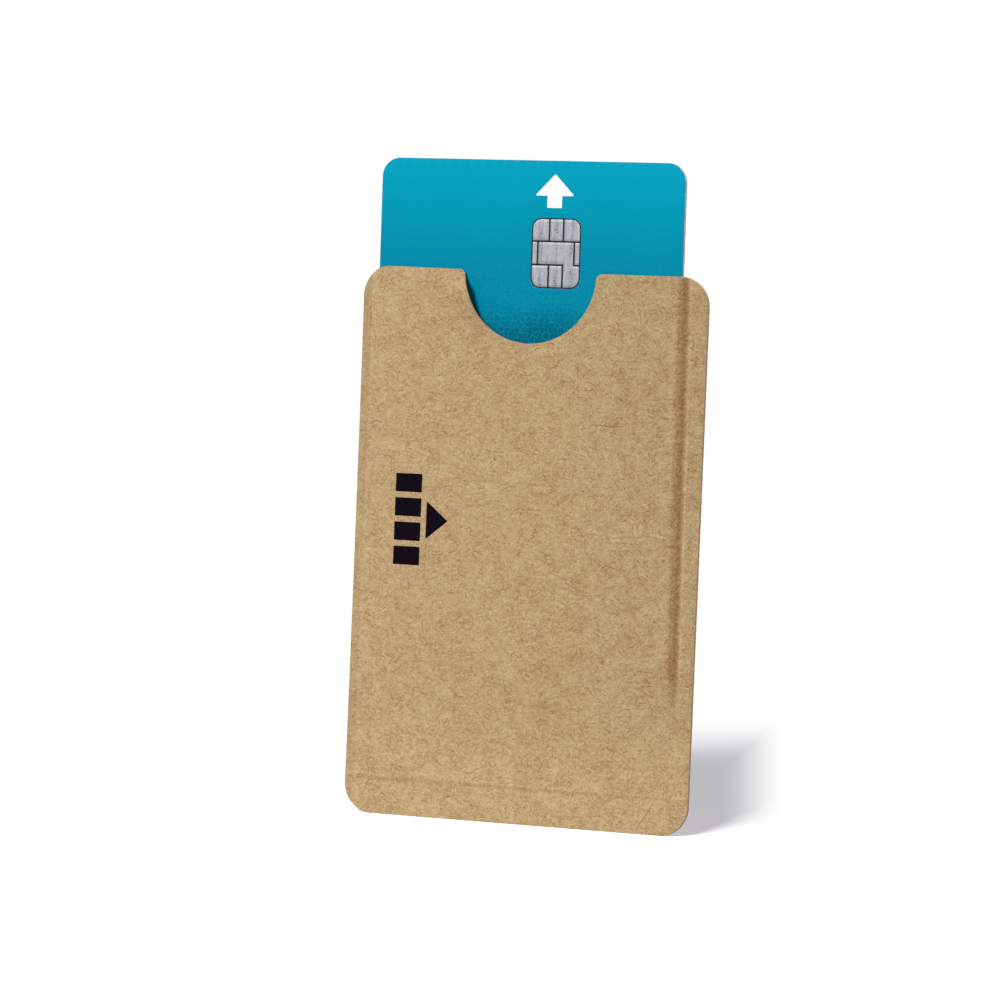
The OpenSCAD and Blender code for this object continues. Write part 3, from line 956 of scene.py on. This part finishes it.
# Card markings
# A white arrow on the front shows which end goes in. The back has a magnetic stripe and a
# white panel to sign, both pressed into the overlay.
patch_sinks = 0.014 * mm
patch_stands = 0.003 * mm
arrow_x = card_w / 2 - 22.9 * mm
arrow_tip = card_h / 2 - 2.2 * mm
arrow_half = 3.5 * mm
head_foot = arrow_tip - 3.6 * mm
stem_half = 1.3 * mm
stem_foot = head_foot - 2.0 * mm
arrow_corner_r = 0.15 * mm
stem_corner_r = 0.1 * mm
stripe_x = card_w / 2 - 15.8 * mm
stripe_w = 10.3 * mm
stripe_half = card_h / 2 - 0.03 * mm
stripe_corner_r = 0.02 * mm
panel_w = 10 * mm
panel_x = stripe_x - 4 * mm - panel_w
panel_h = 62 * mm
panel_corner_r = 0.4 * mm
panel_line_gap = 0.9


def printed_patch(name, loop, face_y, towards, finish, node):
    """A thin patch that just stands out of the card's face, which looks towards -1 or 1 in Y."""
    blank = filled(loop, 3 * mm, 0, lean)
    low, high = sorted((face_y - towards * patch_sinks, face_y + towards * patch_stands))
    patch = flat_sheet(name, blank, low, high, finish)
    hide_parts(node)
    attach(patch, "card")


def arrow_white(place):
    """White ink with a fine grain."""
    grain = clouds(place, 0.25, 3.0, 0.7, flat=False)
    colour = grain.smooth(0.2, 0.6).colour((0.86, 0.89, 0.90, 1), (0.95, 0.95, 0.95, 1))
    return {"Base Color": colour, "Roughness": 0.45, "Normal": grain.bump(0.004 * mm)}


def stripe_black(place):
    """Dark tape with faint lines along it from being drawn through readers."""
    lines = clouds(place.vector("MULTIPLY", place, (1, 1, 0.02)), 0.3, 3.0, 0.7, flat=False)
    worn = clouds(place, 6.0, 4.0, 0.6, flat=False)
    colour = (lines * worn).smooth(0.2, 0.55).colour(
        (0.010, 0.009, 0.010, 1), (0.040, 0.034, 0.032, 1)
    )
    return {
        "Base Color": colour, "Roughness": 0.28 + 0.25 * lines, "Specular IOR Level": 0.4,
        "Normal": lines.bump(0.003 * mm),
    }


def panel_white(place):
    """Chalky writing surface, printed with fine pale slanting lines."""
    x, z = on_card(place)
    lines = place.maths("SINE", (x + z) * (2 * math.pi / panel_line_gap)).smooth(0.82, 0.97)
    chalk = clouds(place, 0.5, 4.0, 0.7, flat=False)
    colour = chalk.smooth(0.2, 0.7).colour((0.74, 0.72, 0.67, 1), (0.84, 0.82, 0.77, 1))
    colour = (lines * 0.5).colour(colour, (0.45, 0.60, 0.66, 1))
    return {
        "Base Color": colour, "Roughness": 0.85, "Specular IOR Level": 0.2,
        "Normal": chalk.bump(0.006 * mm),
    }


arrow_loop = rounded([
    (arrow_x - stem_half, stem_foot, arrow_corner_r),
    (arrow_x + stem_half, stem_foot, arrow_corner_r),
    (arrow_x + stem_half, head_foot, stem_corner_r),
    (arrow_x + arrow_half, head_foot, arrow_corner_r),
    (arrow_x, arrow_tip, arrow_corner_r),
    (arrow_x - arrow_half, head_foot, arrow_corner_r),
    (arrow_x - stem_half, head_foot, stem_corner_r),
], 0.3 * mm)
stripe_loop = box_loop(
    stripe_x, -stripe_half, stripe_x + stripe_w, stripe_half, stripe_corner_r, 2 * mm
)
panel_loop = box_loop(
    panel_x, -panel_h / 2, panel_x + panel_w, panel_h / 2, panel_corner_r, 2 * mm
)
printed_patch(
    "insertion_arrow_ink", arrow_loop, card_front, -1,
    material("white ink", arrow_white), "insertion_arrow",
)
printed_patch(
    "magnetic_stripe_tape", stripe_loop, card_back, 1,
    material("magnetic tape", stripe_black), "magnetic_stripe",
)
printed_patch(
    "signature_panel_coat", panel_loop, card_back, 1,
    material("signature coat", panel_white), "signature_panel",
)


# Chip module
# Eight plated contacts sit on a dark glass-fibre tape, which is glued into a pocket milled in
# the card. Their metal is dull, streaked up and down, and pitted from use in readers.
plate_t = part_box("contact_plates")[1].y - card_front
plate_inset = 0.14 * mm
plate_rounding = 0.02 * mm
side_x = module_w / 2 - plate_inset
side_z = module_h / 2 - plate_inset
small_r = 0.10 * mm
big_r = module_r - plate_inset
# Every groove between contacts has an edge towards the module's middle and one away from it.
# Columns run up and down at its ends, rows run across, and strips lie between the rows.
groove_half = 0.14 * mm
column_in, column_out = 1.24 * mm - groove_half, 1.24 * mm + groove_half
row_in, row_out = 1.94 * mm - groove_half, 1.94 * mm + groove_half
strip_in, strip_out = 3.24 * mm - groove_half, 3.24 * mm + groove_half
# The readers' fingers wipe the metal in streaks this far apart, in the shader's millimetres
finger_gap = 2.75


def dull_metal(place):
    """Dull silver-grey plating with streaks, pits and fine scratches."""
    x, z = on_card(place)
    flat = place.node("ShaderNodeCombineXYZ", {}, {0: x, 1: z})
    streaks = clouds(flat.vector("MULTIPLY", flat, (1, 0.09, 1)), 0.22, 3.0, 0.6)
    broad = clouds(flat.vector("MULTIPLY", flat, (1, 0.25, 1)), 1.1, 2.0)
    column = (x - module_x / mm) / finger_gap
    wiped = abs(column - place.maths("ROUND", column)).smooth(0.24, 0.04)
    wiped = wiped * clouds(flat.vector("MULTIPLY", flat, (1, 0.3, 1)), 0.9, 2.0).smooth(0.35, 0.62)
    pits = (clouds(flat, 0.23, 2.0, 0.6) + 0.10 * wiped).smooth(0.66, 0.72)
    colour = (streaks * 0.7 + broad * 0.5 - 0.1).smooth(0.0, 1.0).colour(
        (0.150, 0.157, 0.172, 1), (0.295, 0.305, 0.330, 1)
    )
    colour = (wiped * streaks * 0.75).colour(colour, (0.12, 0.12, 0.13, 1))
    colour = (pits * 0.8).colour(colour, (0.05, 0.045, 0.045, 1))
    return {
        "Base Color": colour, "Metallic": 1.0, "Roughness": 0.42 + 0.2 * streaks,
        "Normal": (streaks * 0.5 - pits).bump(0.006 * mm),
    }


def tape_dark(place):
    """Dark tape with the glass fibres' weave in it."""
    weave = clouds(place, 0.3, 2.0, flat=False)
    colour = weave.smooth(0.3, 0.7).colour((0.009, 0.006, 0.007, 1), (0.024, 0.016, 0.017, 1))
    return {
        "Base Color": colour, "Roughness": 0.6, "Specular IOR Level": 0.1,
        "Normal": weave.bump(0.01 * mm),
    }


contact_places = [
    [(x0, z0), (x1, z0), (x1, z1), (x0, z1)] for x0, z0, x1, z1 in (
        (-side_x, row_out, -column_out, side_z),
        (-column_in, row_out, column_in, side_z),
        (column_out, row_out, side_x, side_z),
        (-side_x, -row_in, -strip_out, row_in),
        (strip_out, -row_in, side_x, row_in),
        (-side_x, -side_z, -column_out, -row_out),
        (-column_in, -side_z, column_in, -row_out),
    )
]
# The eighth contact fills the middle and one corner
contact_places.append([
    (-strip_in, -row_in), (column_out, -row_in), (column_out, -side_z), (side_x, -side_z),
    (side_x, -row_out), (strip_in, -row_out), (strip_in, row_in), (-strip_in, row_in),
])
contact_metal = material("plated contacts", dull_metal)
plates = []
for i, places in enumerate(contact_places):
    corners = [
        (x, z, big_r if abs(x) == side_x and abs(z) == side_z else small_r) for x, z in places
    ]
    loop = [(module_x + x, module_z + z) for x, z in rounded(corners, 0.3 * mm)]
    blank = filled(loop, 0.5 * mm, plate_rounding, lean)
    plates.append(flat_sheet(f"contact_{i}", blank, card_front, card_front + plate_t, contact_metal))
contacts = joined("contact_plates_metal", plates)
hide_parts("contact_plates")
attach(contacts, "card")
repaint("module_carrier", material("carrier tape", tape_dark))


# Parts inside the card
# Under the contacts lie the glue, the silicon chip with its gold wires and the drop of black
# resin over them. The copper antenna runs round the middle sheet.


def speckled(low, high, size, roughness, metallic):
    """A plain inner finish that varies between two colours in small patches."""
    def surface(place):
        grain = clouds(place, size, 3.0, 0.6, flat=False)
        return {
            "Base Color": grain.smooth(0.25, 0.75).colour(low, high), "Metallic": metallic,
            "Roughness": roughness, "Normal": grain.bump(0.01 * mm),
        }
    return surface


# Name, darkest and lightest colour, size of the patches in millimetres, roughness, metallic
inner_finishes = {
    "module_adhesive": ("hot melt", (0.60, 0.47, 0.22, 1), (0.78, 0.66, 0.40, 1), 0.5, 0.4, 0.0),
    "chip_die": ("silicon", (0.06, 0.07, 0.09, 1), (0.12, 0.13, 0.16, 1), 0.25, 0.15, 0.0),
    "bond_wires": ("gold wire", (0.75, 0.50, 0.15, 1), (0.95, 0.70, 0.30, 1), 0.1, 0.25, 1.0),
    "glob_top": ("black resin", (0.012, 0.010, 0.010, 1), (0.035, 0.030, 0.028, 1), 0.8, 0.35, 0.0),
    "antenna_coil": ("copper wire", (0.55, 0.22, 0.12, 1), (0.85, 0.42, 0.26, 1), 1.0, 0.3, 1.0),
}
for node, (name, low, high, size, roughness, metallic) in inner_finishes.items():
    repaint(node, material(name, speckled(low, high, size, roughness, metallic)))


# Floor and light
# The sleeve stands on a white table. Three soft lamps light all but the table, and one lights
# the table alone, so that its soft grey shadow has an outline and a strength of its own.
floor_reach = 1.5
# The table's brightness where it throws light back on the sleeve and where it is seen, and
# the light that it gives off where it is seen, which keeps the shadow pale
floor_bounce = 0.18
floor_seen = 0.5
shadow_glow = (0.418, 0.418, 0.448, 1)
# Where the table is painted white over its own shadow, to the sides, behind and before,
# in the shader's millimetres
fade_right = (34, 46)
fade_left = (-26.8, -28.2)
fade_behind = (110, 262)
fade_before = (-2, 14)
# Strength of the even light from all sides, which itself looks white
fill_light = 0.15


def seen_rays(tree):
    """1 for rays that show a thing to the camera, and 0 for those by which it lights others."""
    ray = Value(tree, None).node("ShaderNodeLightPath", {}, {}, "Is Camera Ray")
    return (ray + ray.other("Is Glossy Ray") + ray.other("Is Transmission Ray")).at_most(1)


def lamp(name, turn, rise, distance, size, watts):
    """A square soft lamp, turned to the right of straight ahead, that aims at the sleeve."""
    light = bpy.data.lights.new(name, "AREA")
    light.shape = "SQUARE"
    light.size = size
    light.energy = watts
    made = bpy.data.objects.new(name, light)
    bpy.context.scene.collection.objects.link(made)
    turn, rise = math.radians(turn), math.radians(rise)
    away = Vector((
        math.sin(turn) * math.cos(rise), -math.cos(turn) * math.cos(rise), math.sin(rise)
    ))
    made.location = Vector((0, 0, 0.5 * sleeve_h)) + away * distance
    made.rotation_mode = "QUATERNION"
    made.rotation_quaternion = away.to_track_quat("Z", "Y")
    return made


# Turn and rise in degrees, distance and size in metres, and watts
table_lamp = lamp("table lamp", 3, 23.5, 2.4, 0.50, 172.0)
front_lamp = lamp("front lamp", -16, 26, 2.4, 0.55, 33.9)
left_lamp = lamp("left lamp", -26, 30, 2.0, 0.55, 13.6)
back_lamp = lamp("back lamp", 143, 35, 2.0, 1.3, 52.0)

world = bpy.data.worlds.new("studio")
bpy.context.scene.world = world
world.use_nodes = True
feed(world.node_tree.nodes["Background"], {
    "Color": (1, 1, 1, 1), "Strength": fill_light + (1 - fill_light) * seen_rays(world.node_tree),
})


def white_table():
    """Painted white away from the sleeve, over its shadow too, and lit grey only close to the
    sleeve.
    """
    made = bpy.data.materials.new("white table")
    made.use_nodes = True
    tree = made.node_tree
    tree.nodes.remove(tree.nodes["Principled BSDF"])
    place = place_in(tree)
    x, y, _ = split(place)
    seen = seen_rays(tree)
    brightness = floor_bounce + (floor_seen - floor_bounce) * seen
    lit = place.node("ShaderNodeBsdfDiffuse", {}, {
        "Color": place.vector("SCALE", (1, 1, 1), brightness, "Scale"),
    })
    glow = place.node("ShaderNodeEmission", {}, {"Color": shadow_glow, "Strength": seen})
    shade = place.node("ShaderNodeAddShader", {}, {0: lit, 1: glow})
    white = place.node("ShaderNodeEmission", {}, {"Color": (1, 1, 1, 1), "Strength": 1.0})
    aside = x * math.cos(camera_turn) + y * math.sin(camera_turn)
    beyond = y * math.cos(camera_turn) - x * math.sin(camera_turn)
    aside = aside / (1 + beyond / (camera_distance / mm))
    aside = aside.smooth(*fade_right).at_least(aside.smooth(*fade_left))
    along = beyond.smooth(*fade_behind).at_least((0 - y).smooth(*fade_before))
    # Painted white: away from the sleeve the table's shadow is covered with white
    painted_white = aside.at_least(along) * seen
    mixed = place.node("ShaderNodeMixShader", {}, {0: painted_white, 1: shade, 2: white})
    feed(tree.nodes["Material Output"], {"Surface": mixed})
    return made


floor_mesh = bpy.data.meshes.new("floor")
floor_mesh.from_pydata(
    [(x * floor_reach, y * floor_reach, 0) for x, y in ((-1, -1), (1, -1), (1, 1), (-1, 1))],
    [], [(0, 1, 2, 3)],
)
floor_mesh.materials.append(white_table())
floor = bpy.data.objects.new("floor", floor_mesh)
bpy.context.scene.collection.objects.link(floor)
table_only = bpy.data.collections.new("table only")
table_only.objects.link(floor)
table_lamp.light_linking.receiver_collection = table_only
all_but_table = bpy.data.collections.new("all but the table")
all_but_table.objects.link(floor)
all_but_table.collection_objects[0].light_linking.link_state = "EXCLUDE"
for other_lamp in (front_lamp, left_lamp, back_lamp):
    other_lamp.light_linking.receiver_collection = all_but_table
